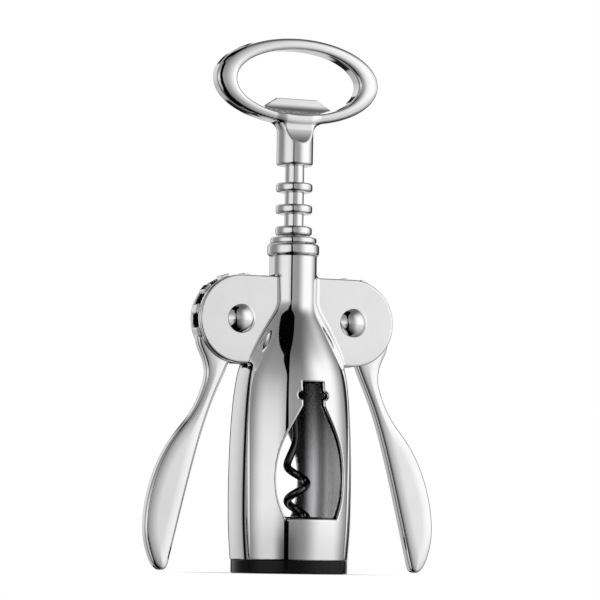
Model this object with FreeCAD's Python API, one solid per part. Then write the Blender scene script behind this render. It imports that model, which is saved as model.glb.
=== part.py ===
"""Wing corkscrew: bottle-shaped body, two geared levers, rack stem, ring handle, worm.

Millimetres. Z is up the spindle axis from the table, the front faces -Y, X runs across the levers.
"""
import FreeCAD, Part
import math
import os

V = FreeCAD.Vector
X_AXIS = V(1, 0, 0)
Y_AXIS = V(0, 1, 0)
Z_AXIS = V(0, 0, 1)

# Rack discs, which set the neck's bore.
DISC_R = 6.55
DISC_THICK = 3.4
DISC_PITCH = 7.74
DISC_COUNT = 8
DISC_LOW = 82.21
DISC_ROUND = 1.1

# Body: a die-cast bottle with a hollow bell, a neck and a rolled lip.
FOOT_Z = 4.6
FOOT_WALL = 1.9
SEAT_IN_R = 19.0
BELL_R = SEAT_IN_R + FOOT_WALL
BORE_CLEAR = 0.4
NECK_WALL = 1.55
BORE_R = DISC_R + BORE_CLEAR
NECK_R = BORE_R + NECK_WALL
LIP_STEP = 0.8
LIP_R = NECK_R + LIP_STEP
PIVOT_Z = 88.9
LIP_RISE = 23.0
LIP_HIGH = 4.55
LIP_Z = PIVOT_Z + LIP_RISE
LIP_TOP = LIP_Z + LIP_HIGH
LIP_ROUND = 1.3
WALL_Z = 16.6
NECK_FACET_DEEP = 0.4
WINDOW_FOOT = 19.0
WINDOW_FOOT_X = 9.65
WINDOW_SIDE = [(11.6, 24.0), (12.8, 33.5), (11.2, 44.0), (6.6, 53.8)]
WINDOW_NECK_X = 4.0
WINDOW_BEAD_X = 5.4
WINDOW_NECK_Z = 58.4
WINDOW_BEAD_Z = (60.4, 63.6)
WINDOW_TOP = 66.9
BACK_NARROW = 0.84

# Ears that carry the levers.
PIVOT_X = 21.45
EAR_R = 15.6
EAR_HALF = 5.0
EAR_FILLET = 0.7
EAR_LOW = PIVOT_Z - EAR_R
EAR_TOP = PIVOT_Z + EAR_R
SLOT_HALF = 2.8
SLOT_LOW = EAR_LOW - 1.2
SLOT_TOP = EAR_TOP + 0.5

# Flat sides of the bell, under the ears.
FACET_Z = (FOOT_Z, 38.0, EAR_LOW - 0.7)
FACET_X = (BELL_R - 1.05, BELL_R + 0.08, BELL_R - 2.3)

# Neck bush that the spindle turns and slides in.
RUNNING = 0.05
BUSH_WALL = 1.1
BUSH_FLANGE = 0.6
BUSH_LIFT = 0.15
BUSH_HIGH = 2.05
BUSH_DEEP = 4.5
BUSH_ROUND = 0.7
BUSH_BORE_R = DISC_R + RUNNING
BUSH_SLEEVE_R = BUSH_BORE_R + BUSH_WALL
BUSH_R = BUSH_SLEEVE_R + BUSH_FLANGE
BUSH_Z = LIP_TOP + BUSH_LIFT
BUSH_LOW = LIP_TOP - BUSH_DEEP

# Black seat ring that sits on the bottle's lip.
RING_R = 20.6
RING_BORE_R = 15.6
RING_BORE_LEN = 14.0
RING_TOP = 16.0
RING_HOLE_R = 8.0

# Spindle: round rack, handle hub and worm.
CORE_R = 3.43
CORE_LOW = 75.5
SPIGOT_R = 2.6
SPIGOT_TOP = 156.0
HUB_LOW = 144.2
HUB_TOP = 161.0

# Handle ring with its bottle-cap opener.
RING_Z = 174.35
RING_A = 31.1
RING_B = 15.56
EYE_Z = 173.95
EYE_A = 23.5
EYE_B = 11.45
RING_EDGE = 2.75
RING_CROWN = 3.3
TAB_HALF = 1.0
TAB_TOP = 168.2
TAB_TOP_X = 7.7
TAB_LOW = 165.3
TAB_LOW_X = 12.2
TAB_ROOT = 160.6
TAB_ROOT_X = 9.0
SADDLE_X = 11.6
SADDLE_Z = 154.6
SADDLE_WING_Z = 160.0
SCOOP_LOW = 151.7
SCOOP_HIGH = 159.6

# Worm.
WIRE_R = 1.35
HELIX_R = 3.45
HELIX_PITCH = 11.0
HELIX_TOP = 37.6
HELIX_LOW = 16.7
HELIX_AIM = 157.0
TIP_LENGTH = 4.2
TIP_END_R = 0.12
BEND_PULL = 12.0
SHANK_LOW = 47.5
SHANK_TOP = 88.0
SOCKET_GAP = 0.03

# Levers.
LEVER_HALF = 2.5
ROOT_R = 13.2
TIP_R = 16.4
TOOTH_STEP = 30.0
TOOTH_FIRST = -10.9
TOOTH_COUNT = 8
TOOTH_FOOT_HALF = 2.3
TOOTH_TIP_HALF = 1.6
ARM_ROUND = 0.9

# Outline of the left arm, measured from its pivot.
ARM_HEEL = (-9.0, -5.0)
ARM_OUTER = [(-15.3, -5.2), (-14.7, -9.2), (-13.2, -12.7), (-11.95, -16.1), (-11.65, -20.5), (-12.75, -24.9),
             (-16.65, -33.1), (-23.05, -41.4), (-28.15, -50.0), (-31.35, -58.6),
             (-33.15, -67.4), (-33.35, -75.8), (-31.55, -83.3), (-29.15, -87.3),
             (-27.15, -88.3), (-25.55, -87.6), (-24.55, -85.5)]
ARM_INNER = [(-24.55, -85.5), (-20.65, -69.5), (-16.35, -52.4), (-11.35, -35.3),
             (-8.15, -26.8), (-4.55, -18.7), (-1.95, -12.3)]

# Rivets.
SHAFT_R = 3.0
HEAD_R = 5.1
HEAD_RIM = 0.35
HEAD_HIGH = 2.3
SPIGOT_HOLE_R = 1.5
FIT = 0.02


def cylinder(radius, low, high):
    return Part.makeCylinder(radius, high - low, V(0, 0, low), Z_AXIS)


def cross_pin(radius, low, high, x=0.0, z=0.0):
    return Part.makeCylinder(radius, high - low, V(x, low, z), Y_AXIS)


def block(x0, x1, y0, y1, z0, z1):
    return Part.makeBox(x1 - x0, y1 - y0, z1 - z0, V(x0, y0, z0))


def curve(points, start=None, end=None):
    """A smooth curve through points of the XZ plane."""
    spline = Part.BSplineCurve()
    places = [V(x, 0, z) for x, z in points]
    if start:
        spline.interpolate(Points=places, InitialTangent=start, FinalTangent=end)
    else:
        spline.interpolate(Points=places)
    return spline.toShape()


def line(a, b):
    return Part.makeLine(V(a[0], 0, a[1]), V(b[0], 0, b[1]))


def slab(edges, half):
    """A plate of the XZ outline, from -half to +half along Y."""
    face = Part.Face(Part.Wire(Part.__sortEdges__(edges)))
    face.translate(V(0, -half, 0))
    return face.extrude(V(0, 2 * half, 0))


def turned(edges):
    face = Part.Face(Part.Wire(Part.__sortEdges__(edges)))
    return face.revolve(V(0, 0, 0), Z_AXIS, 360)


def mirrored(shape):
    return shape.mirror(V(0, 0, 0), X_AXIS)


def save(shape, node):
    shape.exportStep("parts/" + node + ".step")


# Outside and inside of the bottle.
OUTSIDE = [(BELL_R, FOOT_Z), (BELL_R + 0.65, 13.5), (BELL_R + 1.0, 27.0), (BELL_R + 0.82, 42.5),
           (BELL_R + 0.2, 55.5), (BELL_R - 0.8, 65.5), (BELL_R - 2.35, 73.0), (NECK_R + 7.45, 79.6),
           (NECK_R + 4.75, 85.0), (NECK_R + 2.4, 89.3), (NECK_R + 0.5, 93.2), (NECK_R, 96.2)]
INSIDE = [(SEAT_IN_R, WALL_Z), (SEAT_IN_R + 0.6, 30.0), (SEAT_IN_R + 0.3, 45.0), (SEAT_IN_R - 0.5, 57.0),
          (SEAT_IN_R - 1.6, 66.0), (BORE_R + 8.35, 73.5), (BORE_R + 5.25, 79.6), (BORE_R + 2.45, 85.0),
          (BORE_R, 90.5)]
UP = V(0, 0, 1)


def bottle():
    side = curve(OUTSIDE, V(0.08, 0, 1), UP)
    return turned([
        side,
        line(OUTSIDE[-1], (NECK_R, LIP_TOP)),
        line((NECK_R, LIP_TOP), (0, LIP_TOP)),
        line((0, LIP_TOP), (0, FOOT_Z)),
        line((0, FOOT_Z), OUTSIDE[0])])


def lip():
    ring = cylinder(LIP_R, LIP_Z, LIP_TOP)
    return ring.makeFillet(LIP_ROUND, ring.Edges)


def hollow():
    side = curve(INSIDE, V(0.03, 0, 1), UP)
    return turned([
        line((0, FOOT_Z), (SEAT_IN_R, FOOT_Z)),
        line((SEAT_IN_R, FOOT_Z), INSIDE[0]),
        side,
        line(INSIDE[-1], (BORE_R, LIP_TOP)),
        line((BORE_R, LIP_TOP), (0, LIP_TOP)),
        line((0, LIP_TOP), (0, FOOT_Z))])


def window(narrow, way):
    """A small bottle with a capped mouth, cut through the wall on one side of the bell."""
    bead_low, bead_high = WINDOW_BEAD_Z
    neck_x = narrow * WINDOW_NECK_X
    bead_x = narrow * WINDOW_BEAD_X
    foot = (narrow * WINDOW_FOOT_X, WINDOW_FOOT)
    side = [(narrow * x, z) for x, z in WINDOW_SIDE]
    neck = (neck_x, WINDOW_NECK_Z)
    under = (neck_x, bead_low)
    over = (neck_x, bead_high)
    mouth = (neck_x, WINDOW_TOP)
    right = [
        curve([foot] + side + [neck]),
        line(neck, under),
        curve([under, (bead_x, bead_low + 0.6), (bead_x, bead_high - 0.6), over]),
        line(over, mouth),
        line(mouth, (0, WINDOW_TOP)),
        line(foot, (0, WINDOW_FOOT))]
    opening = slab(right + [mirrored(edge) for edge in right], BELL_R)
    opening.translate(V(0, way * BELL_R, 0))
    return opening


def ears():
    disc = cross_pin(EAR_R, -EAR_HALF, EAR_HALF, PIVOT_X, PIVOT_Z)
    web = block(0, PIVOT_X, -EAR_HALF, EAR_HALF, EAR_LOW, EAR_TOP)
    right = disc.fuse(web)
    return right.fuse(mirrored(right)).removeSplitter()


def facets():
    """Cutters for the side faces under the ears and on the neck."""
    low, mid, top = [V(x, 0, z) for x, z in zip(FACET_X, FACET_Z)]
    arc = Part.Arc(low, mid, top).toShape()
    far = 2 * BELL_R
    side = slab([
        arc,
        line((top.x, top.z), (far, top.z)),
        line((far, top.z), (far, low.z)),
        line((far, low.z), (low.x, low.z))], BELL_R)
    deep = NECK_R - NECK_FACET_DEEP
    neck = block(deep, LIP_R, -EAR_HALF, EAR_HALF, EAR_TOP, LIP_Z)
    right = side.fuse(neck)
    return right.fuse(mirrored(right))


def is_ear_seam(edge):
    """True where an ear's face runs into the bottle."""
    box = edge.BoundBox
    on_face = box.YLength < 0.02 and abs(abs(box.Center.y) - EAR_HALF) < 0.01
    upright = box.XLength < 0.01
    return on_face and (upright or isinstance(edge.Curve, Part.BSplineCurve))


def body():
    blank = bottle().cut(facets()).fuse(ears()).removeSplitter()
    blank = blank.makeFillet(EAR_FILLET, [edge for edge in blank.Edges if is_ear_seam(edge)])
    shell = blank.fuse(lip()).cut(hollow())
    slot = block(BORE_R - 1.0, PIVOT_X + 2 * EAR_R, -SLOT_HALF, SLOT_HALF, SLOT_LOW, SLOT_TOP)
    shell = shell.cut([slot, mirrored(slot), window(1.0, -1), window(BACK_NARROW, 1)])
    shell = shell.cut(cylinder(BUSH_SLEEVE_R + RUNNING, BUSH_LOW, LIP_TOP))
    for x in (-PIVOT_X, PIVOT_X):
        shell = shell.cut(cross_pin(SHAFT_R + FIT, -EAR_HALF, EAR_HALF, x, PIVOT_Z))
    return shell


def seat_ring():
    flange = cylinder(RING_R, 0, FOOT_Z)
    flange = flange.makeChamfer(0.4, [flange.Edges[2]])
    ring = flange.fuse(cylinder(SEAT_IN_R - RUNNING, FOOT_Z, RING_TOP))
    ring = ring.cut(cylinder(RING_BORE_R, 0, RING_BORE_LEN))
    return ring.cut(cylinder(RING_HOLE_R, RING_BORE_LEN, RING_TOP))


def neck_bush():
    flange = cylinder(BUSH_R, BUSH_Z, BUSH_Z + BUSH_HIGH)
    flange = flange.makeFillet(BUSH_ROUND, [flange.Edges[0]])
    bush = flange.fuse(cylinder(BUSH_SLEEVE_R, BUSH_LOW + RUNNING, BUSH_Z))
    return bush.cut(cylinder(BUSH_BORE_R, BUSH_LOW, BUSH_Z + BUSH_HIGH))


def tooth(angle):
    foot = ROOT_R - 1.0
    outline = [(foot, -TOOTH_FOOT_HALF - 0.2), (TIP_R - 0.45, -TOOTH_TIP_HALF),
               (TIP_R, -TOOTH_TIP_HALF + 0.4), (TIP_R, TOOTH_TIP_HALF - 0.4),
               (TIP_R - 0.45, TOOTH_TIP_HALF), (foot, TOOTH_FOOT_HALF + 0.2)]
    edges = [line(a, b) for a, b in zip(outline, outline[1:] + outline[:1])]
    solid = slab(edges, LEVER_HALF)
    solid.rotate(V(0, 0, 0), Y_AXIS, -angle)
    solid.translate(V(-PIVOT_X, 0, PIVOT_Z))
    return solid


def arm():
    """Left lever's arm, swelling outwards to a rounded end."""
    root = [line(ARM_INNER[-1], ARM_HEEL), line(ARM_HEEL, ARM_OUTER[0])]
    plate = slab([curve(ARM_OUTER), curve(ARM_INNER)] + root, LEVER_HALF)
    rim = [edge for edge in plate.Edges
           if edge.BoundBox.YLength < 0.01 and edge.BoundBox.ZLength > ROOT_R]
    arm_plate = plate.makeFillet(ARM_ROUND, rim)
    arm_plate.translate(V(-PIVOT_X, 0, PIVOT_Z))
    return arm_plate


def left_lever():
    wheel = cross_pin(ROOT_R, -LEVER_HALF, LEVER_HALF, -PIVOT_X, PIVOT_Z)
    teeth = [tooth(TOOTH_FIRST + TOOTH_STEP * n) for n in range(TOOTH_COUNT)]
    lever = wheel.fuse(teeth + [arm()])
    bore = cross_pin(SHAFT_R + RUNNING, -LEVER_HALF, LEVER_HALF, -PIVOT_X, PIVOT_Z)
    return lever.cut(bore)


def dome(y, way):
    """A domed head standing off the ear's face at y."""
    rim = Part.makeCylinder(HEAD_R, HEAD_RIM, V(0, y, 0), V(0, way, 0))
    rise = HEAD_HIGH - HEAD_RIM
    ball_r = (HEAD_R ** 2 + rise ** 2) / (2 * rise)
    ball = Part.makeSphere(ball_r, V(0, y + way * (HEAD_HIGH - ball_r), 0))
    keep = Part.makeCylinder(HEAD_R, HEAD_HIGH, V(0, y, 0), V(0, way, 0))
    low = Part.makeCylinder(3 * HEAD_R, 6 * HEAD_R, V(0, y + way * HEAD_RIM, 0), V(0, -way, 0))
    return ball.common(keep).cut(low).fuse(rim)


def rivet(x):
    head = dome(-EAR_HALF, -1)
    shaft = cross_pin(SHAFT_R, -EAR_HALF, EAR_HALF)
    hole = cross_pin(SPIGOT_HOLE_R + FIT, 0.5, EAR_HALF)
    solid = head.fuse(shaft).cut(hole)
    solid.translate(V(x, 0, PIVOT_Z))
    return solid


def rivet_cap(x):
    solid = dome(EAR_HALF, 1).fuse(cross_pin(SPIGOT_HOLE_R, 1.0, EAR_HALF))
    solid.translate(V(x, 0, PIVOT_Z))
    return solid


def rack_stem():
    stem = cylinder(CORE_R, CORE_LOW, HUB_LOW).fuse(cylinder(SPIGOT_R, HUB_LOW, SPIGOT_TOP))
    for n in range(DISC_COUNT):
        middle = DISC_LOW + n * DISC_PITCH
        disc = cylinder(DISC_R, middle - DISC_THICK / 2, middle + DISC_THICK / 2)
        stem = stem.fuse(disc.makeFillet(DISC_ROUND, disc.Edges))
    return stem.cut(cylinder(WIRE_R + SOCKET_GAP, CORE_LOW, SHANK_TOP + 0.5))


def ellipse(a, b, y, z):
    shape = Part.Ellipse(V(0, y, z), a, b).toShape()
    shape.rotate(V(0, y, z), X_AXIS, 90)
    return Part.Wire(shape)


def handle_ring():
    """An oval ring whose front and back faces are gently crowned."""
    mid_a = (RING_A + EYE_A) / 2
    mid_b = (RING_B + EYE_B) / 2
    mid_z = (RING_Z + EYE_Z) / 2
    skins = []
    for way in (-1, 1):
        skins.append(Part.makeLoft([
            ellipse(RING_A, RING_B, way * RING_EDGE, RING_Z),
            ellipse(mid_a, mid_b, way * RING_CROWN, mid_z),
            ellipse(EYE_A, EYE_B, way * RING_EDGE, EYE_Z)], False))
    for a, b, z in ((RING_A, RING_B, RING_Z), (EYE_A, EYE_B, EYE_Z)):
        skins.append(Part.makeLoft([
            ellipse(a, b, -RING_EDGE, z), ellipse(a, b, RING_EDGE, z)], False, True))
    faces = [face for skin in skins for face in skin.Faces]
    shell = Part.Shell(faces)
    shell.sewShape()
    return Part.Solid(shell)


def handle():
    ring = handle_ring()
    eye = slab([ellipse(EYE_A, EYE_B, 0, EYE_Z).Edges[0]], 2 * DISC_R)
    hub = cylinder(DISC_R, HUB_LOW, HUB_TOP)
    low_rim = [edge for edge in hub.Edges if abs(edge.BoundBox.ZMax - HUB_LOW) < 0.01]
    hub = hub.makeFillet(1.0, low_rim)
    waist = (DISC_R, SADDLE_Z)
    wing = (SADDLE_X, SADDLE_WING_Z)
    roof = (SADDLE_X, EYE_Z - EYE_B)
    middle = V(DISC_R + 1.5, 0, SADDLE_WING_Z - 1.8)
    flare = Part.Arc(V(waist[0], 0, waist[1]), middle, V(wing[0], 0, wing[1])).toShape()
    right = [flare, line(wing, roof), line(roof, (0, roof[1])), line((0, SADDLE_Z), waist)]
    saddle = slab(right + [mirrored(edge) for edge in right], RING_EDGE)
    shape = ring.fuse([hub, saddle])
    clear = 2 * DISC_R
    for way in (-1, 1):
        corners = [V(-clear, way * DISC_R, SCOOP_LOW), V(-clear, way * RING_CROWN, SCOOP_HIGH),
                   V(-clear, way * RING_CROWN, RING_Z), V(-clear, way * clear, RING_Z),
                   V(-clear, way * clear, SCOOP_LOW)]
        scoop = Part.Face(Part.makePolygon(corners + corners[:1]))
        shape = shape.cut(scoop.extrude(V(2 * clear, 0, 0)))
    shape = shape.cut(eye)
    top = (TAB_TOP_X, TAB_TOP)
    end = (TAB_LOW_X, TAB_LOW)
    root = (TAB_ROOT_X, TAB_ROOT)
    right = [line((0, TAB_TOP), top), line(top, end), line(end, root), line(root, (0, TAB_ROOT))]
    tab = slab(right + [mirrored(edge) for edge in right], TAB_HALF)
    shape = shape.fuse(tab)
    return shape.cut(cylinder(SPIGOT_R + FIT, HUB_LOW, SPIGOT_TOP + 0.3))


def worm():
    turns_z = HELIX_TOP - HELIX_LOW
    helix = Part.makeHelix(HELIX_PITCH, turns_z, HELIX_R)
    start = math.degrees(2 * math.pi * turns_z / HELIX_PITCH)
    helix.rotate(V(0, 0, 0), Z_AXIS, HELIX_AIM - start)
    helix.translate(V(0, 0, HELIX_LOW))
    top = helix.Edges[-1].valueAt(helix.Edges[-1].LastParameter)
    lead = helix.Edges[-1].tangentAt(helix.Edges[-1].LastParameter)
    bend = Part.BSplineCurve()
    bend.interpolate(Points=[top, V(0, 0, SHANK_LOW)], InitialTangent=lead * BEND_PULL,
                     FinalTangent=Z_AXIS * BEND_PULL)
    shank = Part.makeLine(V(0, 0, SHANK_LOW), V(0, 0, SHANK_TOP))
    path = Part.Wire(list(helix.Edges) + [bend.toShape(), shank])
    first = helix.Edges[0]
    foot = first.valueAt(first.FirstParameter)
    way = first.tangentAt(first.FirstParameter)
    section = Part.Wire(Part.makeCircle(WIRE_R, foot, way))
    tip = Part.makeCone(WIRE_R, TIP_END_R, TIP_LENGTH, foot, way * -1)
    return path.makePipeShell([section], True, True).fuse(tip)


lever = left_lever()
save(body(), "body")
save(seat_ring(), "seat_ring")
save(neck_bush(), "neck_bush")
save(lever, "left_lever")
save(mirrored(lever), "right_lever")
save(rivet(-PIVOT_X), "left_rivet")
save(rivet(PIVOT_X), "right_rivet")
save(rivet_cap(-PIVOT_X), "left_rivet_cap")
save(rivet_cap(PIVOT_X), "right_rivet_cap")
save(rack_stem(), "rack_stem")
save(handle(), "handle")
save(worm(), "worm")
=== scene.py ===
# %% [markdown]
# # Wing corkscrew
# A chromed corkscrew stands on its black seat ring. The bell goes over a bottle's mouth,
# the worm screws into the cork, and the two wings draw the spindle up through the neck.
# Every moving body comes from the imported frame; this script gives each one its surface.

# %% Load the frame
import math

import bpy
import numpy as np
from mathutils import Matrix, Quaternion, Vector


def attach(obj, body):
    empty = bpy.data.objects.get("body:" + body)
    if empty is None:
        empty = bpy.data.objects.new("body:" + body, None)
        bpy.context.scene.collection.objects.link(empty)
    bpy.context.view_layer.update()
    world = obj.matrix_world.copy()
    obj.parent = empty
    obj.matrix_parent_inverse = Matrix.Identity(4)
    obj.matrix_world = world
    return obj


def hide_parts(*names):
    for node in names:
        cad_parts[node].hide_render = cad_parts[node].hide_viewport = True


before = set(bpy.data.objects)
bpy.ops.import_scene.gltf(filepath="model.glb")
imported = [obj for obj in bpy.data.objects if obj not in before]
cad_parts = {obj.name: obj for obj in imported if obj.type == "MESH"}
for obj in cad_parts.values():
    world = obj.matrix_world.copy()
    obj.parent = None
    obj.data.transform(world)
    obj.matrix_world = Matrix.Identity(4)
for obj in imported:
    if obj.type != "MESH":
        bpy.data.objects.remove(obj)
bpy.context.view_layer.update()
scene = bpy.context.scene
MM = 0.001

# %% [markdown]
# ## Camera
# A long lens stands low in front, a little to the left, so the tall piece keeps its
# proportions. It is rolled by less than a degree, because the piece leans that much.

# %% Camera
VIEW_AZIMUTH = math.radians(-23)
VIEW_ROLL = math.radians(0.85)
VIEW_DISTANCE = 1.2
VIEW_HEIGHT = 0.008
AIM_RIGHT = 0.00255
AIM_UP = 0.0966
LENS = 203.8

to_camera = Vector((math.sin(VIEW_AZIMUTH), -math.cos(VIEW_AZIMUTH), 0))
to_right = Vector((math.cos(VIEW_AZIMUTH), math.sin(VIEW_AZIMUTH), 0))
lens = bpy.data.cameras.new("camera")
lens.lens = LENS
lens.clip_start = 0.01
camera = bpy.data.objects.new("camera", lens)
scene.collection.objects.link(camera)
camera.location = to_camera * VIEW_DISTANCE + Vector((0, 0, VIEW_HEIGHT))
aim = to_right * AIM_RIGHT + Vector((0, 0, AIM_UP))
looking = (aim - camera.location).to_track_quat("-Z", "Y")
camera.rotation_mode = "QUATERNION"
camera.rotation_quaternion = looking @ Quaternion((0, 0, 1), VIEW_ROLL)
scene.camera = camera
scene.view_settings.view_transform = "Standard"
print("camera at", [round(place, 3) for place in camera.location], "with a lens of", LENS, "mm")

# %% [markdown]
# ## Nodes written as sums
# A finish is arithmetic on what a surface knows about itself: where it is and which way
# it faces. One small class wraps a node's socket, so that a + b adds a Math node.

# %% Shader helper


class Value:
    """An output socket that can be added, multiplied and fed to other nodes."""

    def __init__(self, tree, socket):
        self.tree = tree
        self.socket = socket

    def math(self, operation, *others):
        return node(self.tree, "ShaderNodeMath", {"operation": operation}, [self, *others])

    def __add__(self, other):
        return self.math("ADD", other)

    __radd__ = __add__

    def __mul__(self, other):
        return self.math("MULTIPLY", other)

    __rmul__ = __mul__

    def __sub__(self, other):
        return self.math("SUBTRACT", other)

    def __rsub__(self, other):
        return node(self.tree, "ShaderNodeMath", {"operation": "SUBTRACT"}, [other, self])

    def rise(self, low, high):
        """0 below low, 1 above high, smooth between them."""
        smooth = {"interpolation_type": "SMOOTHSTEP"}
        return node(self.tree, "ShaderNodeMapRange", smooth, [self, low, high, 0.0, 1.0])

    def mix(self, first, second):
        """The first colour where this is 0, the second where it is 1."""
        return node(self.tree, "ShaderNodeMix", {"data_type": "RGBA"}, {0: self, 6: first, 7: second}, out=2)


def node(tree, kind, settings, values, out=0):
    """One node: its settings first, then its sockets, by place or by name."""
    made = tree.nodes.new(kind)
    for name, setting in settings.items():
        setattr(made, name, setting)
    pairs = values.items() if isinstance(values, dict) else enumerate(values)
    for key, given in pairs:
        socket = made.inputs[key]
        if isinstance(given, Value):
            tree.links.new(given.socket, socket)
        else:
            socket.default_value = given
    return Value(tree, made.outputs[out])


# %% [markdown]
# ## Studio
# Chrome has no colour of its own: it shows the room. It is lit in a grey tent with a wide
# soft box on each side, a black gap where the lens looks in, and black flags behind the
# piece that draw its outline. Here each of them is a patch of the world's sky with a
# middle, a width, a soft edge and a level, so the room is a short list of lights.

# %% Directions in the room
AMBIENT = 0.60
DEGREES = 180 / math.pi
world = bpy.data.worlds.new("grey_tent")
scene.world = world
world.use_nodes = True
room = world.node_tree
room.nodes.clear()
ray = node(room, "ShaderNodeTexCoord", {}, {})
toward = node(room, "ShaderNodeVectorMath", {"operation": "DOT_PRODUCT"}, [ray, tuple(to_camera)], out=1)
side = node(room, "ShaderNodeVectorMath", {"operation": "DOT_PRODUCT"}, [ray, tuple(to_right)], out=1)
height = node(room, "ShaderNodeSeparateXYZ", {}, [ray], out=2)
around = side.math("ARCTAN2", toward) * DEGREES
up = height.math("ARCSINE") * DEGREES
turned_away = around.math("ABSOLUTE")

# %% Soft boxes and flags
TENT_LEVEL = 0.32
CEILING_LEVEL = 0.12
FLAG_LEVEL = 0.02


def patch(lit, middle, half, soft, level, where=1.0):
    """The room with one upright light or flag in it, so many degrees right of the lens."""
    off = (around - middle).math("ABSOLUTE")
    return lit + (level - lit) * ((1.0 - off.rise(half, half + soft)) * where)


lit = TENT_LEVEL + up.rise(5.0, 60.0) * (CEILING_LEVEL - TENT_LEVEL)
lit = patch(lit, -90, 10, 20, 0.25)
lit = patch(lit, -145, 5, 25, 0.7)
lit = patch(lit, -40, 10, 35, 0.85, 1.0 - up.rise(0.0, 28.0) * 0.85)
lit = patch(lit, 75, 12, 42, 1.0, 1.0 - up.rise(24.0, 62.0))
lit = patch(lit, -5, 5, 25, 0.15, 1.0 - up.rise(-10.0, 0.0))
lit = lit + (1.0 - lit) * turned_away.rise(150.0, 162.0)
lit = patch(lit, 142, 7, 9, FLAG_LEVEL)
lit = patch(lit, -162, 6, 5, FLAG_LEVEL)

# %% Darker towards the floor
front = up.rise(-66.0, -10.0)
flank = up.rise(-62.0, -2.0) * 0.7 + 0.3
near_floor = front + (flank - front) * turned_away.rise(40.0, 80.0)
near_floor = near_floor + (up.rise(-4.0, 1.0) * 0.2 + 0.8 - near_floor) * turned_away.rise(150.0, 170.0)
lit = lit * near_floor * (up.rise(-10.0, 2.0) * 0.25 + 0.75)

# %% The gap where the lens looks in
slot_left = -10.0 - up.rise(22.0, 44.0) * 12.0 - up.rise(44.0, 64.0) * 76.0
slot_left = slot_left - (1.0 - up.rise(-74.0, -16.0)) * 90.0
slot_right = -1.0 - up.rise(-5.0, 15.0) * 4.0 + (1.0 - up.rise(-72.0, -34.0)) * 25.0
slot_right = slot_right + up.rise(46.0, 74.0) * 28.0
slot = (around - slot_left).rise(-0.7, 0.7) * (slot_right - around).rise(-0.7, 0.7)
slot = slot * (1.0 - up.rise(74.0, 84.0))
BLACK = (0.001, 0.001, 0.001, 1)
mirrored = slot.mix(lit, BLACK)
ray_is_camera = node(room, "ShaderNodeLightPath", {}, {}, out="Is Camera Ray")
ray_is_diffuse = node(room, "ShaderNodeLightPath", {}, {}, out="Is Diffuse Ray")
tent = ray_is_diffuse.mix(mirrored, (AMBIENT, AMBIENT, AMBIENT, 1))
tent = ray_is_camera.mix(tent, (1, 1, 1, 1))
glow = node(room, "ShaderNodeBackground", {}, {"Color": tent, "Strength": 1.0})
room.links.new(glow.socket, room.nodes.new("ShaderNodeOutputWorld").inputs["Surface"])
print("room of", len(room.nodes), "nodes")

# %% [markdown]
# ## Table and lamps
# A pale table carries the piece's shadow. Two wide lamps high on either side lift it to
# the level of the tent, so a colour comes out about as it is written.

# %% Table and lamps
TABLE_SIZE = 6.0


def table():
    """A matt white top that runs out into plain white away from the piece."""
    mesh = bpy.data.meshes.new("table")
    half = TABLE_SIZE / 2
    corners = [(-half, -half, 0), (half, -half, 0), (half, half, 0), (-half, half, 0)]
    mesh.from_pydata(corners, [], [(0, 1, 2, 3)])
    made = bpy.data.objects.new("table", mesh)
    scene.collection.objects.link(made)
    made.location.z = -0.0001
    cloth = bpy.data.materials.new("table_white")
    cloth.use_nodes = True
    tree = cloth.node_tree
    tree.nodes.clear()
    spot = node(tree, "ShaderNodeNewGeometry", {}, {}, out="Position")
    away = node(tree, "ShaderNodeVectorMath", {"operation": "LENGTH"}, [spot], out=1)
    lit = node(tree, "ShaderNodeBsdfDiffuse", {}, {"Color": (0.97, 0.97, 0.97, 1), "Roughness": 0.0})
    far = node(tree, "ShaderNodeEmission", {}, {"Color": (1, 1, 1, 1), "Strength": 1.0})
    both = node(tree, "ShaderNodeMixShader", {}, [away.rise(0.026, 0.046), lit, far])
    tree.links.new(both.socket, tree.nodes.new("ShaderNodeOutputMaterial").inputs["Surface"])
    mesh.materials.append(cloth)
    made.visible_glossy = False
    return made


def lamp(name, place, level):
    """A wide soft lamp, seen by the black parts and the table but not mirrored in the chrome."""
    data = bpy.data.lights.new(name, "SUN")
    data.angle = math.radians(50)
    data.energy = level
    made = bpy.data.objects.new(name, data)
    scene.collection.objects.link(made)
    made.location = place
    made.rotation_euler = Vector(place).to_track_quat("Z", "Y").to_euler()
    made.visible_glossy = False
    return made


LAMP_LEVEL = 0.80
table()
lamp("left_lamp", (-0.9, -0.7, 1.5), LAMP_LEVEL)
lamp("right_lamp", (1.0, -0.5, 1.6), LAMP_LEVEL)
print("table", TABLE_SIZE, "m wide, two lamps of", LAMP_LEVEL)

# %% [markdown]
# ## Finishes
# Plated zinc is never quite even: buffing leaves faint lines round the piece, fingers leave
# cloudy patches, and the casting under the plate is a little wavy. The black parts are
# moulded nylon with a fine grain, and a dipped coat on the worm. Each is a tree of noises,
# because noise has no seams and keeps its size in millimetres on every piece. Two values
# painted on the points steer the chrome: "open" paints shade into creases, and "line" paints
# a dark line of shade along a fine cut.

# %% Noises and bumps


def finish_tree(name):
    made = bpy.data.materials.new(name)
    made.use_nodes = True
    tree = made.node_tree
    return made, tree, tree.nodes["Principled BSDF"]


def noise(tree, scale, stretch=(1, 1, 1), detail=3.0):
    """Cloudy noise from about 0.3 to 0.7, so many grains to a metre."""
    place = node(tree, "ShaderNodeTexCoord", {}, {}, out="Object")
    place = node(tree, "ShaderNodeVectorMath", {"operation": "MULTIPLY"}, [place, stretch])
    return node(tree, "ShaderNodeTexNoise", {}, {"Vector": place, "Scale": scale, "Detail": detail})


def bumped(tree, height, depth):
    return node(tree, "ShaderNodeBump", {}, {"Height": height, "Distance": depth, "Strength": 1.0})


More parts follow.
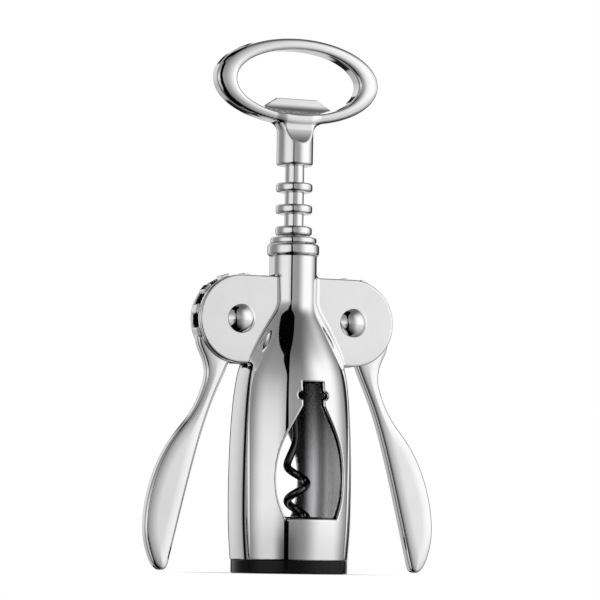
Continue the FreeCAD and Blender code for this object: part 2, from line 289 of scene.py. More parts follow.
def connect(tree, finish, **sockets):
    for name, value in sockets.items():
        tree.links.new(value.socket, finish.inputs[name.replace("_", " ")])


def shade_of(tree):
    """Painted shade on a spot: 1 in the open, lower in a crease, 0 on the dark line painted along a fine
    cut.
    """
    clear = node(tree, "ShaderNodeAttribute", {"attribute_name": "open"}, {}, out="Fac")
    line = node(tree, "ShaderNodeAttribute", {"attribute_name": "line"}, {}, out="Fac")
    return clear * (1.0 - line.rise(0.70, 0.78))


# %% Plating


def painted_inside_shade(tree):
    """Painted shade inside the bell: darker high up, and down two broad streaks of its wall."""
    place = node(tree, "ShaderNodeTexCoord", {}, {}, out="Object")
    x, y, z = (node(tree, "ShaderNodeSeparateXYZ", {}, [place], out=n) for n in range(3))
    turn = x.math("ARCTAN2", y) * DEGREES
    wide_streak = turn.rise(14.0, 28.0) * (1.0 - turn.rise(36.0, 45.0))
    thin_streak = turn.rise(47.0, 56.0) * (1.0 - turn.rise(59.0, 67.0))
    return (1.0 - wide_streak * 0.9) * (1.0 - thin_streak * 0.7) * (1.0 - z.rise(0.036, 0.074) * 0.75)


def chrome(name, light, dark, gloss, smear, depth, inside_shade=None):
    """Plated metal: light in the open, darker where shade is painted into creases and lines, gloss plus up
    to smear of roughness.
    """
    made, tree, finish = finish_tree(name)
    finish.inputs["Metallic"].default_value = 1.0
    cloud = noise(tree, 90.0).rise(0.35, 0.7)
    lines = noise(tree, 700.0, (1, 1, 0.06), 2.0)
    tint = cloud.mix((light, light, light * 1.01, 1), (light * 0.97, light * 0.97, light * 0.98, 1))
    # Painted shade: creases, fine cut lines and the bell's painted inside streaks darken the base colour.
    unshaded_part = shade_of(tree) if inside_shade is None else shade_of(tree) * inside_shade(tree)
    connect(tree, finish, Base_Color=unshaded_part.mix((dark, dark, dark, 1), tint),
            Roughness=cloud * smear + lines.rise(0.5, 0.75) * smear + gloss,
            Normal=bumped(tree, noise(tree, 260.0) + lines * 0.3, depth))
    return made


# %% Plastic


def plastic(name, light, scuff, gloss, smear, grain, depth, shine):
    """Black plastic with a moulded grain, a little greyer in clouds; shine is its index."""
    made, tree, finish = finish_tree(name)
    finish.inputs["IOR"].default_value = shine
    cloud = noise(tree, 140.0).rise(0.42, 0.7)
    black = cloud.mix((light, light, light, 1), (scuff, scuff, scuff, 1))
    connect(tree, finish, Base_Color=black,
            Roughness=cloud * smear + gloss, Normal=bumped(tree, noise(tree, grain), depth))
    return made


# %% Five finishes
silver = chrome("chrome_plate", 0.98, 0.0, 0.02, 0.03, 0.0000006)
# The bell's inside is darkened by painted shade, high up and in two streaks.
dull = chrome("plating_inside", 0.98, 0.0, 0.25, 0.03, 0.000001, painted_inside_shade)
# A near-black finish that stands for painted shade in the slot between the ears and among the wings' teeth.
recess_shade = chrome("painted_recess_shade", 0.05, 0.0, 0.45, 0.2, 0.00001)
nylon = plastic("black_nylon", 0.0015, 0.004, 0.16, 0.14, 2600.0, 0.000004, 1.3)
coat = plastic("worm_coat", 0.001, 0.002, 0.03, 0.05, 900.0, 0.000002, 2.2)
print("finishes:", ", ".join(made.name for made in (silver, dull, recess_shade, nylon, coat)))

# %% [markdown]
# ## Casting a piece
# The bell, the wings and the handle are die castings: walls run into each other through
# soft fillets, and every edge is rounded by the polishing wheel. Boxes and bevels don't
# give that skin. Here a piece is a rule that says how far a point is from its surface.
# A skin is laid where the rule is zero, each of its points is pushed on to the exact
# surface, and the surface's own slope becomes the normal, which is what chrome shows.

# %% Joining and cutting with rounded edges

def trimmed(a, b, radius):
    """What lies in both a and b, its outer edge rounded."""
    corner = np.hypot(np.maximum(a + radius, 0), np.maximum(b + radius, 0))
    return np.minimum(np.maximum(a, b), -radius) + corner


def joined(a, b, radius):
    """a and b together, with a fillet in the inner corner."""
    corner = np.hypot(np.maximum(radius - a, 0), np.maximum(radius - b, 0))
    return np.maximum(np.minimum(a, b), radius) - corner


def bored(a, b, radius):
    """a with b taken out."""
    return trimmed(a, -b, radius)


# %% Smooth line through points


def through(points, steps=24, start=None, end=None):
    """Points along a smooth curve through the given ones (a natural cubic)."""
    knots = np.array(points, float)
    gaps = np.linalg.norm(np.diff(knots, axis=0), axis=1)
    place = np.concatenate([[0], np.cumsum(gaps)])
    count = len(knots)
    pull = np.zeros((count, count))
    load = np.zeros((count, 2))
    for i in range(1, count - 1):
        pull[i, i - 1] = gaps[i - 1]
        pull[i, i] = 2 * (gaps[i - 1] + gaps[i])
        pull[i, i + 1] = gaps[i]
        load[i] = 6 * ((knots[i + 1] - knots[i]) / gaps[i] - (knots[i] - knots[i - 1]) / gaps[i - 1])
    pull[0, 0] = pull[-1, -1] = 1
    if start is not None:
        pull[0, 0], pull[0, 1] = 2 * gaps[0], gaps[0]
        load[0] = 6 * ((knots[1] - knots[0]) / gaps[0] - np.array(start, float))
    if end is not None:
        pull[-1, -1], pull[-1, -2] = 2 * gaps[-1], gaps[-1]
        load[-1] = 6 * (np.array(end, float) - (knots[-1] - knots[-2]) / gaps[-1])
    bend = np.linalg.solve(pull, load)
    line = []
    for i, gap in enumerate(gaps):
        t = np.linspace(0, gap, steps, endpoint=False)[:, None]
        slope = (knots[i + 1] - knots[i]) / gap - gap * (2 * bend[i] + bend[i + 1]) / 6
        twist = (bend[i + 1] - bend[i]) / (6 * gap)
        line.append(knots[i] + slope * t + bend[i] * t ** 2 / 2 + twist * t ** 3)
    return np.vstack(line + [knots[-1:]])


# %% Flat outlines


class Outline:
    """The distance to a closed flat outline, kept on a fine chart: below 0 inside."""

    def __init__(self, points, margin=3.0, step=0.15):
        a = np.array(points, float)
        b = np.roll(a, -1, axis=0)
        self.step = step
        self.low = a.min(0) - margin
        size = np.ceil((a.max(0) + margin - self.low) / step).astype(int) + 1
        across, along = (self.low[n] + np.arange(size[n]) * step for n in (0, 1))
        u, v = np.meshgrid(across, along, indexing="ij")
        near = np.full(u.shape, 1e9)
        inside = np.zeros(u.shape, bool)
        for (ax, ay), (bx, by) in zip(a, b):
            ex, ey = bx - ax, by - ay
            t = np.clip(((u - ax) * ex + (v - ay) * ey) / max(ex * ex + ey * ey, 1e-12), 0, 1)
            near = np.minimum(near, (u - ax - t * ex) ** 2 + (v - ay - t * ey) ** 2)
            if ay != by:
                inside ^= ((ay > v) != (by > v)) & (u < (bx - ax) * (v - ay) / (by - ay) + ax)
        self.chart = np.where(inside, -1, 1) * np.sqrt(near)

    def __call__(self, u, v):
        p = np.clip((u - self.low[0]) / self.step, 0, self.chart.shape[0] - 1.001)
        q = np.clip((v - self.low[1]) / self.step, 0, self.chart.shape[1] - 1.001)
        i, j = p.astype(int), q.astype(int)
        p, q = p - i, q - j
        chart = self.chart
        return ((chart[i, j] * (1 - p) + chart[i + 1, j] * p) * (1 - q)
                + (chart[i, j + 1] * (1 - p) + chart[i + 1, j + 1] * p) * q)


# %% Pushing points on to a surface
SLOPE_STEP = 0.02
CORNERS = [(i, j, k) for i in (0, 1) for j in (0, 1) for k in (0, 1)]


def slope_of(shape, p, step):
    """The direction in which the distance grows, at every row of p."""
    ways = [np.array(way) * step for way in ((1, 0, 0), (0, 1, 0), (0, 0, 1))]
    return np.stack([shape(*(p + way).T) - shape(*(p - way).T) for way in ways], 1) / (2 * step)


def on_surface(shape, p, cell, rounds=3):
    """Pushes every row of p on to the surface."""
    for _ in range(rounds):
        slope = slope_of(shape, p, SLOPE_STEP)
        steep = np.maximum((slope ** 2).sum(1), 0.05)
        move = -(shape(*p.T) / steep)[:, None] * slope
        p = p + np.clip(move, -cell, cell)
    return p


def relaxed(points, quads):
    """Each point moved half way to the middle of its neighbours."""
    near = np.zeros_like(points)
    links = np.zeros(len(points))
    for a, b in ((0, 1), (1, 2), (2, 3), (3, 0)):
        for i, j in ((quads[:, a], quads[:, b]), (quads[:, b], quads[:, a])):
            for n in range(3):
                near[:, n] += np.bincount(i, points[j, n], len(points))
            links += np.bincount(i, minlength=len(points))
    return points * 0.5 + near / links[:, None] * 0.5


# %% Laying the skin


def skin(shape, low, high, cell, rounds=4, normal_step=0.05):
    """Vertices, quads and normals of the surface where shape is zero, inside a box."""
    axes = [np.arange(a, b + cell, cell) for a, b in zip(low, high)]
    sizes = [len(axis) for axis in axes]
    field = np.empty(sizes, np.float32)
    for i, x in enumerate(axes[0]):
        y, z = np.meshgrid(axes[1], axes[2], indexing="ij")
        field[i] = shape(np.full(y.shape, x), y, z)
    solid = field < 0
    count = sum(solid[i:sizes[0] - 1 + i, j:sizes[1] - 1 + j, k:sizes[2] - 1 + k].astype(np.int8)
                for i, j, k in CORNERS)
    cells = np.argwhere((count > 0) & (count < 8))
    number = np.full([size - 1 for size in sizes], -1, np.int64)
    number[tuple(cells.T)] = np.arange(len(cells))
    total = np.zeros((len(cells), 3))
    hits = np.zeros(len(cells))
    for a in CORNERS:
        for axis in range(3):
            if a[axis]:
                continue
            b = tuple(1 if n == axis else a[n] for n in range(3))
            fa = field[tuple((cells + a).T)]
            fb = field[tuple((cells + b).T)]
            cross = (fa < 0) != (fb < 0)
            t = np.where(cross, fa / np.where(cross, fa - fb, 1), 0)
            spot = np.array(a, float) + np.eye(3)[axis] * t[:, None]
            total += spot * cross[:, None]
            hits += cross
    points = np.array(low) + (cells + total / hits[:, None]) * cell
    quads = []
    for axis in range(3):
        u, v = (axis + 1) % 3, (axis + 2) % 3
        here = [slice(None)] * 3
        there = [slice(None)] * 3
        here[axis], there[axis] = slice(0, -1), slice(1, None)
        a, b = solid[tuple(here)], solid[tuple(there)]
        edges = np.argwhere(a != b)
        edges = edges[(edges[:, u] > 0) & (edges[:, v] > 0)]
        edges = edges[(edges[:, u] < sizes[u] - 1) & (edges[:, v] < sizes[v] - 1)]
        out = a[tuple(edges.T)]
        du, dv = np.eye(3, dtype=int)[u], np.eye(3, dtype=int)[v]
        ring = np.stack([number[tuple((edges - s).T)] for s in (du + dv, dv, 0 * du, du)], 1)
        quads.append(np.where(out[:, None], ring, ring[:, ::-1]))
    quads = np.vstack(quads)
    points = on_surface(shape, points, cell)
    for _ in range(rounds):
        points = on_surface(shape, relaxed(points, quads), cell, 2)
    slope = slope_of(shape, points, normal_step)
    return points, quads, slope / np.linalg.norm(slope, axis=1)[:, None]


# %% Creases


def crevice(shape, points, normals, reach):
    """0 in the open, towards 1 in an inner corner."""
    return np.clip(1 - shape(*(points + normals * reach).T) / reach, 0, 1)


# %% Mesh from vertices and normals


def piece(name, points, faces, normals, metal, body, node_names, others=(), which=None, crease=None,
          line=None):
    """A smooth object from millimetre vertices, riding on its body."""
    mesh = bpy.data.meshes.new(name)
    mesh.from_pydata((np.asarray(points) * MM).tolist(), [], [tuple(face) for face in faces])
    mesh.update()
    mesh.shade_smooth()
    mesh.normals_split_custom_set_from_vertices(np.asarray(normals).tolist())
    clear = np.ones(len(points)) if crease is None else 1 - np.asarray(crease, float)
    mesh.attributes.new("open", "FLOAT", "POINT").data.foreach_set("value", clear.astype(np.float32))
    if line is not None:
        mesh.attributes.new("line", "FLOAT", "POINT").data.foreach_set("value", np.asarray(line, np.float32))
    for finish in (metal, *others):
        mesh.materials.append(finish)
    if which is not None:
        mesh.polygons.foreach_set("material_index", np.asarray(which, np.int32))
    made = bpy.data.objects.new(name, mesh)
    scene.collection.objects.link(made)
    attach(made, body)
    if node_names:
        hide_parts(*node_names)
    print(name, len(points), "points", len(faces), "faces")
    return made


# %% [markdown]
# ## Bell
# One casting in the shape of a wine bottle: a hollow bell with a bottle-shaped window
# front and back, flat sides, two pairs of ears for the wings, a neck and a rolled lip.
# The sharp edge of each flat and the cut wall of the window are finer than the skin's
# cells, so the dark shade along each is painted on its points as a line.

# %% Bell: the bottle's outside and inside
FOOT_Z = 4.6
LIP_TOP = 116.45
NECK_R = 8.5
BORE_R = 6.95
PIVOT_X = 21.45
PIVOT_Z = 88.9
EAR_R = 15.6
EAR_HALF = 5.0
OUTSIDE = [(20.9, FOOT_Z), (21.55, 13.5), (21.9, 27.0), (21.72, 42.5), (21.1, 55.5), (20.1, 65.5),
           (18.55, 73.0), (15.95, 79.6), (13.25, 85.0), (10.9, 89.3), (9.0, 93.2), (NECK_R, 96.2)]
INSIDE = [(19.0, 16.6), (19.6, 30.0), (19.3, 45.0), (18.5, 57.0), (17.4, 66.0), (15.3, 73.5),
          (12.2, 79.6), (9.4, 85.0), (BORE_R, 90.5)]
outside = through(OUTSIDE, start=(0.08, 1), end=(0, 1))
inside = through(INSIDE, start=(0.03, 1), end=(0, 1))


def from_side(line, rho, z):
    """How far a point is outside a turned side that is drawn as (radius, height)."""
    radius = np.interp(z, line[:, 1], line[:, 0])
    lean = np.interp(z, line[:, 1], np.gradient(line[:, 0], line[:, 1]))
    return (rho - radius) / np.sqrt(1 + lean ** 2)


# %% Bell: the window and the flat sides
WINDOW_RIM = 0.6
DRAFT = 0.36
WINDOW_BELLY = [(9.65, 19.0), (11.6, 24.0), (12.8, 33.5), (11.2, 44.0), (6.6, 53.8), (4.0, 58.4)]
WINDOW_COLLAR = [(4.0, 60.4), (5.4, 61.0), (5.4, 63.0), (4.0, 63.6)]
WINDOW_MOUTH = (4.0, 66.9)
window_side = [*through(WINDOW_BELLY, 12), WINDOW_COLLAR[0], *through(WINDOW_COLLAR, 6), WINDOW_MOUTH]
window = Outline(window_side + [(-x, z) for x, z in reversed(window_side)])
BACK_NARROW = 0.84
FLAT_BOW = 70.0
FLAT_TOP = 72.6
FLAT_HALF = 7.15


def flat_side(x, y, z):
    """The slightly bowed flat; its edge runs straight down the bell, about 7 mm off the middle."""
    low = np.minimum(z, FLAT_TOP)
    edge = FLAT_HALF - 1.2 * np.clip((low - 35.0) / 37.6, 0, 1) ** 2
    radius = np.interp(low, outside[:, 1], outside[:, 0])
    return np.abs(x) - np.sqrt(radius ** 2 - edge ** 2) + (y * y - edge ** 2) / (2 * FLAT_BOW)


def opening(x, y, z):
    """The window's outline; it narrows inwards, and the back one is the smaller."""
    narrow = np.where(y > 0, BACK_NARROW, 1.0)
    depth = np.clip(-from_side(outside, np.hypot(x, y), z), 0, 3.0)
    return window(np.abs(x) / narrow, z) + DRAFT * depth


# %% Bell: the whole casting
NECK_FLAT_X = 8.1
NECK_FLAT_LOW = 97.0
LIP_R = 9.3
LIP_MIDDLE = 114.175
LIP_HALF = 2.275
BUSH_SEAT_R = 7.75
SLOT_HALF = 2.8
SLOT_IN_X = 5.95
SLOT_MIDDLE = 88.55
SLOT_REACH = 16.45
SHAFT_HOLE_R = 3.02


def bell_shape(x, y, z):
    through_wall = opening(x, y, z)
    x, y = np.abs(x), np.abs(y)
    rho = np.hypot(x, y)
    wall = trimmed(from_side(outside, rho, z), FOOT_Z - z, 0.35)
    flat = flat_side(x, y, z)
    wall = trimmed(wall, flat, 0.35)
    wall = trimmed(wall, np.where(z > NECK_FLAT_LOW, x - NECK_FLAT_X, -9.0), 0.2)
    wall = np.maximum(wall, z - LIP_TOP)
    ear = np.hypot(np.maximum(x - PIVOT_X, 0), z - PIVOT_Z) - EAR_R
    ear_half = EAR_HALF + 0.05 - ((z - PIVOT_Z) / EAR_R) ** 2 * 0.3
    wall = joined(wall, trimmed(ear, y - ear_half, 0.75), 1.1)
    lip = trimmed(rho - LIP_R, np.abs(z - LIP_MIDDLE) - LIP_HALF, 1.25)
    wall = joined(wall, lip, 0.15)
    bore = from_side(inside, rho, z)
    wall = bored(wall, np.where(z > 113.0, np.minimum(bore, rho - BUSH_SEAT_R), bore), 0.3)
    slot = np.maximum(np.maximum(y - SLOT_HALF, SLOT_IN_X - x), np.abs(z - SLOT_MIDDLE) - SLOT_REACH)
    wall = bored(wall, slot, 0.3)
    wall = bored(wall, through_wall, WINDOW_RIM)
    return np.maximum(wall, SHAFT_HOLE_R - np.hypot(x - PIVOT_X, z - PIVOT_Z))


# %% Bell: cast it
BELL_CELL = 0.45
points, quads, normals = skin(bell_shape, (-37.8, -22.6, 4.0), (37.8, 22.6, 117.1), BELL_CELL)

# %% Bell: what is inside, and the painted shade in creases, recess and lines
middles = points[quads].mean(1)
rho = np.hypot(middles[:, 0], middles[:, 1])
height = middles[:, 2]
in_bore = (from_side(inside, rho, height) < 0.1) & (height > 5.0) & (height < 116.0)
# Faces in the slot between the ears take the dark recess finish, which is painted shade.
recess = (np.abs(middles[:, 1]) < 2.95) & (np.abs(middles[:, 0]) > BORE_R)
recess &= (np.hypot(np.abs(middles[:, 0]) - PIVOT_X, height - PIVOT_Z) < EAR_R - 0.4)
# Painted shade in the casting's creases.
crease = 0.8 * crevice(bell_shape, points, normals, 0.8)
x, y, z = points.T
from_outside = from_side(outside, np.hypot(x, y), z)
# Painted shade: a dark line along the flat's edge and on the window's cut wall.
straight = (np.abs(x) + y * y / FLAT_BOW) / (np.hypot(x, y) * np.sqrt(1 + (y / FLAT_BOW) ** 2))
meeting = np.sqrt(np.clip(1 - straight ** 2, 0.01, 1))
on_side = (z < 74.5) & (np.abs(from_outside) < 0.5)
flat_edge_shade = np.where(on_side, np.maximum(np.abs(flat_side(x, y, z) - from_outside) / meeting - 0.4, 0), 9.0)
rim = opening(x, y, z)
edge = np.maximum(np.abs(rim) - 0.1, np.maximum(0.7 + from_outside, -from_outside - 1.5)) + 0.3
line = 1 - np.clip(np.minimum(flat_edge_shade, edge), 0, 1.2) / 1.2
piece("bell", points, quads, normals, silver, "frame", ["body"],
      (dull, recess_shade), np.where(recess, 2, np.where(in_bore, 1, 0)), crease, line)

# %% [markdown]
# ## Handle
# An oval ring grows out of a round hub. The hub is scooped away front and back to the
# ring's thickness, and a thin plate stands up in the eye to lift crown caps.

# %% Handle
RING_Z = 174.35
RING_HALVES = (31.1, 15.56)
EYE_Z = 173.95
EYE_HALVES = (23.5, 11.45)
CROWN_HALF = 3.7
CROWN_PLACE = 0.66
BEVEL_PLACE = 0.64
BEVEL_FALL = 2.48
RING_ROUND = 0.8
HUB_R = 6.55
HUB_LOW = 144.2
HUB_HIGH = 166.0
SCOOP_TOP = 163.0
TAB_TOP = 168.2
TAB_HALF_WIDE = 7.7
SOCKET_R = 2.62
SOCKET_HIGH = 156.3


def from_oval(x, z, a, b):
    """About how far a point is outside an oval."""
    reach = np.sqrt((x / a) ** 2 + (z / b) ** 2) + 1e-9
    return reach * (reach - 1) / (np.hypot(x / a ** 2, z / b ** 2) + 1e-9)


def handle_shape(x, y, z):
    x, y = np.abs(x), np.abs(y)
    rho = np.hypot(x, y)
    outer = from_oval(x, z - RING_Z, *RING_HALVES)
    eye = -from_oval(x, z - EYE_Z, *EYE_HALVES)
    across = np.clip(outer / np.minimum(outer + eye, -0.1), 0, 1)
    to_outside = np.maximum(CROWN_PLACE - across, 0) / CROWN_PLACE
    to_eye = np.maximum(across - CROWN_PLACE, 0) / (1 - CROWN_PLACE)
    bevel = to_outside - BEVEL_PLACE
    bevel = (bevel + np.hypot(bevel, 0.015)) / 2
    half = CROWN_HALF - 0.93 * (to_outside - bevel) ** 2 - BEVEL_FALL * bevel
    half = half - 0.5 * to_eye ** 2 - 0.25 * to_eye ** 4
    hub = trimmed(rho - HUB_R, HUB_LOW - z, 1.0)
    hub = np.maximum(hub, z - HUB_HIGH)
    hub = trimmed(hub, (y - 3.0 - 0.0278 * np.clip(SCOOP_TOP - z, 0, None) ** 2) * 0.93, 0.35)
    ring = trimmed(outer, y - half, RING_ROUND)
    solid = joined(hub, ring, 3.0)
    solid = trimmed(solid, eye, 0.8)
    tab = np.maximum(z - TAB_TOP, (x - TAB_HALF_WIDE) * 0.542 + (z - TAB_TOP) * 0.841)
    tab_half = 1.0 + 2.0 * np.clip((TAB_TOP - z) / 5.2, 0, 1) ** 2.5
    tab = trimmed(np.maximum(tab, -eye - 1.5), y - tab_half, 0.3)
    solid = joined(solid, tab, 0.6)
    return np.maximum(solid, np.where(z < SOCKET_HIGH, SOCKET_R - rho, -9.0))


HANDLE_CELL = 0.35
points, quads, normals = skin(handle_shape, (-32.0, -7.4, 143.5), (32.0, 7.4, 190.6), HANDLE_CELL)
# The handle's creases get painted shade.
piece("handle_ring", points, quads, normals, silver, "spindle", ["handle"],
      crease=0.8 * crevice(handle_shape, points, normals, 0.8))

# %% [markdown]
# ## Wings
# Each wing is a long paddle with a toothed wheel at its root. Both are the same casting,
# turned over, so the right one is made by mirroring the left one's skin.

# %% Wings
ARM_OUTER = [(-15.3, -5.2), (-14.7, -9.2), (-13.2, -12.7), (-11.95, -16.1), (-11.65, -20.5),
             (-12.75, -24.9), (-16.65, -33.1), (-23.05, -41.4), (-28.15, -50.0), (-31.35, -58.6),
             (-33.15, -67.4), (-33.35, -75.8), (-31.55, -83.3), (-29.15, -87.3), (-27.15, -88.3),
             (-25.55, -87.6), (-24.55, -85.5)]
ARM_INNER = [(-24.55, -85.5), (-20.65, -69.5), (-16.35, -52.4), (-11.35, -35.3), (-8.15, -26.8),
             (-4.55, -18.7), (-1.95, -12.3)]
paddle = Outline([*through(ARM_OUTER, 10), *through(ARM_INNER, 10)[1:], (-9.0, -5.0)], step=0.12)
WING_HALF = 2.5
WHEEL_R = 13.2
TOOTH_TIP_R = 16.4
TOOTH_HALF = 2.3
TOOTH_TURN = 30.0
FIRST_TOOTH = 10.9
LAST_STEP = 7
WHEEL_HOLE_R = 3.05


def wing_shape(x, y, z):
    u, v, y = x + PIVOT_X, z - PIVOT_Z, np.abs(y)
    reach = np.hypot(u, v)
    arm = paddle(u, v)
    wheel = reach - WHEEL_R
    turn = np.degrees(np.arctan2(v, u)) + FIRST_TOOTH
    step = np.clip(np.round(turn / TOOTH_TURN), 0, LAST_STEP)
    for lap in (-360.0, 360.0):
        other = np.clip(np.round((turn + lap) / TOOTH_TURN), 0, LAST_STEP)
        nearer = np.abs(turn + lap - TOOTH_TURN * other) < np.abs(turn - TOOTH_TURN * step)
        step = np.where(nearer, other - lap / TOOTH_TURN, step)
    swing = np.radians(turn - TOOTH_TURN * step)
    across, out = np.abs(reach * np.sin(swing)), reach * np.cos(swing)
    flank = (across - TOOTH_HALF + (out - WHEEL_R) * 0.22) * 0.977
    tooth = trimmed(flank, out - TOOTH_TIP_R, 0.5)
    tooth = np.maximum(tooth, 8.0 - out)
    rim = joined(wheel, tooth, 0.4)
    wheel_plate = trimmed(rim, y - WING_HALF, 0.3)
    depth = np.clip(-arm, 0, 6.0)
    bevel = 1.05 - depth
    crown = WING_HALF - 0.42 * np.clip(1 - depth / 4.5, 0, 1) ** 2
    crown = crown - 0.42 * (bevel + np.hypot(bevel, 0.3)) / 2
    arm_plate = trimmed(arm, y - crown, 0.6)
    solid = np.minimum(arm_plate, wheel_plate)
    return np.maximum(solid, WHEEL_HOLE_R - reach)


WING_CELL = 0.38
points, quads, normals = skin(wing_shape, (-55.8, -3.1, -0.8), (-4.6, 3.1, 106.0), WING_CELL)
middles = points[quads].mean(1)
reach = np.hypot(middles[:, 0] + PIVOT_X, middles[:, 2] - PIVOT_Z)
off_arm = paddle(middles[:, 0] + PIVOT_X, middles[:, 2] - PIVOT_Z) > -0.5
# The wheel's teeth and the gaps between them take the dark recess finish, which is painted shade.
root = np.where((reach < WHEEL_R + 1.0) & off_arm, 1, 0)
piece("left_wing", points, quads, normals, silver, "left_wing", ["left_lever"], (recess_shade,), root)
flip = np.array([-1.0, 1.0, 1.0])
piece("right_wing", points * flip, quads[:, ::-1], normals * flip, silver, "right_wing",
      ["right_lever"], (recess_shade,), root)

# %% [markdown]
# ## Turned pieces
# The rack, the bush, the rivets and the seat ring are all round. A lathe cuts them from
# a line of corners, each with its own small radius, spun about the axis.

# %% Lathe
TURN = 128


def rounded(corners, steps=6):
    """Points and normals of a closed line whose corners (r, z, radius) are rounded."""
    line, ways = [], []
    spots = [np.array(corner[:2], float) for corner in corners]
    for i, (spot, corner) in enumerate(zip(spots, corners)):
        before = spots[i - 1] - spot
        after = spots[(i + 1) % len(spots)] - spot
        before, after = before / np.linalg.norm(before), after / np.linalg.norm(after)
        angle = math.acos(np.clip(before @ after, -1, 1))
        radius = max(corner[2], 0.02)
        back = radius / math.tan(angle / 2)
        middle = spot + (before + after) / np.linalg.norm(before + after) * radius / math.sin(angle / 2)
        bulge = 1 if before[0] * after[1] - before[1] * after[0] < 0 else -1
        first, last = spot + before * back - middle, spot + after * back - middle
        for t in np.linspace(0, 1, steps):
            way = first * (1 - t) + last * t
            way = way / np.linalg.norm(way)
            line.append(middle + way * radius)
            ways.append(way * bulge)
    return np.array(line), np.array(ways)


def turned(name, corners, metal, body, node_names):
    """A closed line of (r, z, radius) corners, anticlockwise, spun about Z."""
    line, ways = rounded(corners)
    angles = np.linspace(0, 2 * math.pi, TURN, endpoint=False)
    spin = np.stack([np.cos(angles), np.sin(angles)], 1)
    points = np.concatenate([np.column_stack([line[:, :1] * s, line[:, 1]]) for s in spin])
    normals = np.concatenate([np.column_stack([ways[:, :1] * s, ways[:, 1]]) for s in spin])
    n = len(line)
    faces = []
    for i in range(TURN):
        for j in range(n):
            a, b = i * n + j, i * n + (j + 1) % n
            c, d = ((i + 1) % TURN) * n + (j + 1) % n, ((i + 1) % TURN) * n + j
            faces.append((a, d, c, b))
    return piece(name, points, faces, normals, metal, body, node_names)


# %% Rack stem
CORE_R = 3.43
DISC_R = 6.55
DISC_HALF = 1.7
DISCS = 8
DISC_PITCH = 7.74
FIRST_DISC = 82.21
rack_line = [(1.4, 75.5, 0.2), (CORE_R, 75.5, 0.3)]
for number in range(DISCS):
    middle = FIRST_DISC + DISC_PITCH * number
    rack_line += [(CORE_R, middle - DISC_HALF, 0.15), (DISC_R, middle - DISC_HALF, 1.1),
                  (DISC_R, middle + DISC_HALF, 1.1), (CORE_R, middle + DISC_HALF, 0.15)]
rack_line += [(CORE_R, HUB_LOW, 0.05), (2.6, HUB_LOW, 0.05), (2.6, 156.0, 0.3), (1.4, 156.0, 0.3)]
turned("rack_stem_turned", rack_line, silver, "spindle", ["rack_stem"])

# %% Neck bush
BUSH_LINE = [(6.6, 112.0, 0.1), (7.7, 112.0, 0.1), (7.7, 116.6, 0.1), (8.3, 116.6, 0.3),
             (8.3, 118.65, 0.75), (6.6, 118.65, 0.3)]
turned("neck_bush_turned", BUSH_LINE, silver, "guide", ["neck_bush"])

# %% Seat ring
SEAT_LINE = [(15.6, 0, 0.5), (20.6, 0, 0.5), (20.6, FOOT_Z, 0.25), (18.95, FOOT_Z, 0.1),
             (18.95, 16.0, 0.4), (8.0, 16.0, 0.4), (8.0, 14.0, 0.4), (15.6, 14.0, 0.4)]
turned("seat_ring_moulded", SEAT_LINE, nylon, "frame", ["seat_ring"])

# %% Rivets
HEAD_R = 5.1
HEAD_HIGH = 2.7
RIM_HIGH = 0.35
DOME_HIGH = HEAD_HIGH - RIM_HIGH
BALL_R = (HEAD_R ** 2 + DOME_HIGH ** 2) / (2 * DOME_HIGH)


def rivet(name, x, way, node_name):
    """A domed head on the ear's face, as rings of a ball and a short rim."""
    rings = [(HEAD_R, 0.0, (1, 0)), (HEAD_R, RIM_HIGH, (1, 0.05))]
    for t in np.linspace(math.asin(HEAD_R / BALL_R), 0.02, 40):
        way_out, way_up = math.sin(t), math.cos(t)
        rings.append((BALL_R * way_out, HEAD_HIGH - BALL_R + BALL_R * way_up, (way_out, way_up)))
    points, normals, faces = [], [], []
    for i in range(TURN):
        c, s = math.cos(2 * math.pi * i / TURN), math.sin(2 * math.pi * i / TURN)
        for r, h, (nr, nh) in rings:
            points.append((x + r * c, way * (EAR_HALF + h), PIVOT_Z + r * s))
            normals.append((nr * c, way * nh, nr * s))
    n = len(rings)
    points += [(x, way * (EAR_HALF + HEAD_HIGH), PIVOT_Z), (x, way * EAR_HALF, PIVOT_Z)]
    normals += [(0, way, 0), (0, -way, 0)]
    top, foot = len(points) - 2, len(points) - 1
    for i in range(TURN):
        k = (i + 1) % TURN
        for j in range(n - 1):
            faces.append((i * n + j, k * n + j, k * n + j + 1, i * n + j + 1))
        faces.append((i * n + n - 1, k * n + n - 1, top))
        faces.append((k * n, i * n, foot))
    if way > 0:
        faces = [face[::-1] for face in faces]
    return piece(name, points, faces, normals, silver, "frame", [node_name])


for side_name, x in (("left", -PIVOT_X), ("right", PIVOT_X)):
    rivet(side_name + "_rivet_head", x, -1, side_name + "_rivet")
    rivet(side_name + "_rivet_back", x, 1, side_name + "_rivet_cap")

# %% [markdown]
# ## Worm
# A wire bent off the spindle's axis into a corkscrew, pointed at the end and dipped in a
# glossy black coat. It leans a little to one side, as a bent wire does. A ring of points
# carried along the wire's middle line makes it.

# %% Worm
WIRE_R = 1.4
HELIX_R = 3.45
HELIX_TOP = 37.9
HELIX_LOW = 16.2
HELIX_PITCH = 12.4
HELIX_AIM = math.radians(157)
SHANK_LOW = 48.5
TIP_LENGTH = 4.2
LEAN = 2.6
ROUND = 48


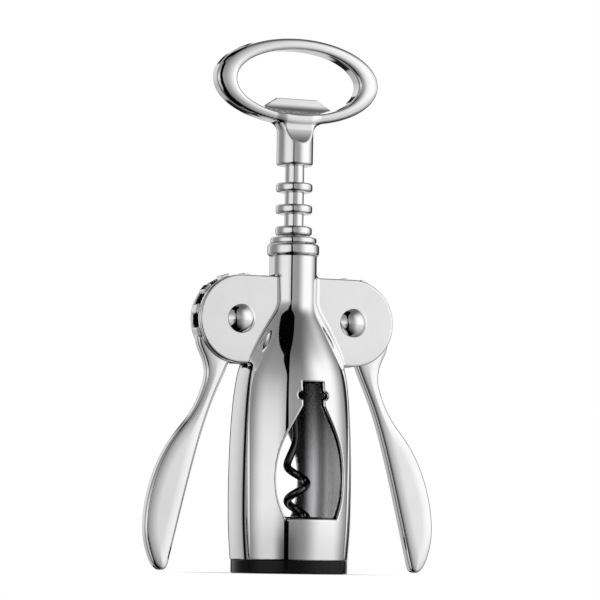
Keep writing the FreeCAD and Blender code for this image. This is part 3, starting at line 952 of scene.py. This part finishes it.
def hermite(a, b, way_a, way_b, steps):
    """Points of a smooth bend from a to b that leaves and arrives in the given ways."""
    t = np.linspace(0, 1, steps, endpoint=False)[:, None]
    return ((2 * t ** 3 - 3 * t ** 2 + 1) * a + (t ** 3 - 2 * t ** 2 + t) * way_a
            + (3 * t ** 2 - 2 * t ** 3) * b + (t ** 3 - t ** 2) * way_b)


def wire_path():
    """The wire's middle line from the tip up into the stem."""
    z = np.arange(HELIX_LOW, HELIX_TOP, 0.1)
    turn = HELIX_AIM - 2 * math.pi * (HELIX_TOP - z) / HELIX_PITCH
    coil = np.column_stack([HELIX_R * np.cos(turn), HELIX_R * np.sin(turn), z])
    start, end = coil[1] - coil[0], coil[-1] - coil[-2]
    start, end = start / np.linalg.norm(start), end / np.linalg.norm(end)
    tip = coil[0] - start * np.linspace(TIP_LENGTH, 0, 24, endpoint=False)[:, None]
    top = np.array([0.0, 0.0, SHANK_LOW])
    bend = hermite(coil[-1], top, end * 12.0, np.array([0.0, 0.0, 12.0]), 60)
    shank = np.column_stack([np.zeros(60), np.zeros(60), np.linspace(SHANK_LOW, 88.0, 60)])
    path = np.vstack([tip, coil[:-1], bend, shank])
    low = np.clip((75.5 - path[:, 2]) / 61.5, 0, 1)
    path[:, :2] += LEAN * (1 - (1 - low) ** 2.5)[:, None] * np.array(to_right)[:2]
    radius = np.full(len(path), WIRE_R)
    radius[:24] = np.linspace(0.12, WIRE_R, 24, endpoint=False)
    return path, radius


path, radius = wire_path()
along = np.gradient(path, axis=0)
along /= np.linalg.norm(along, axis=1)[:, None]
first = np.cross(along, np.array([0.35, 0.94, 0.0]))
first /= np.linalg.norm(first, axis=1)[:, None]
second = np.cross(along, first)
spin = np.linspace(0, 2 * math.pi, ROUND, endpoint=False)
ways = first[:, None] * np.cos(spin)[None, :, None] + second[:, None] * np.sin(spin)[None, :, None]
points = (path[:, None] + ways * radius[:, None, None]).reshape(-1, 3)
faces = []
for i in range(0, (len(path) - 1) * ROUND, ROUND):
    for j in range(ROUND):
        k = (j + 1) % ROUND
        faces.append((i + j, i + k, i + ROUND + k, i + ROUND + j))
faces += [tuple(range(ROUND - 1, -1, -1)), tuple((len(path) - 1) * ROUND + j for j in range(ROUND))]
piece("worm_wire", points, faces, ways.reshape(-1, 3), coat, "spindle", ["worm"])
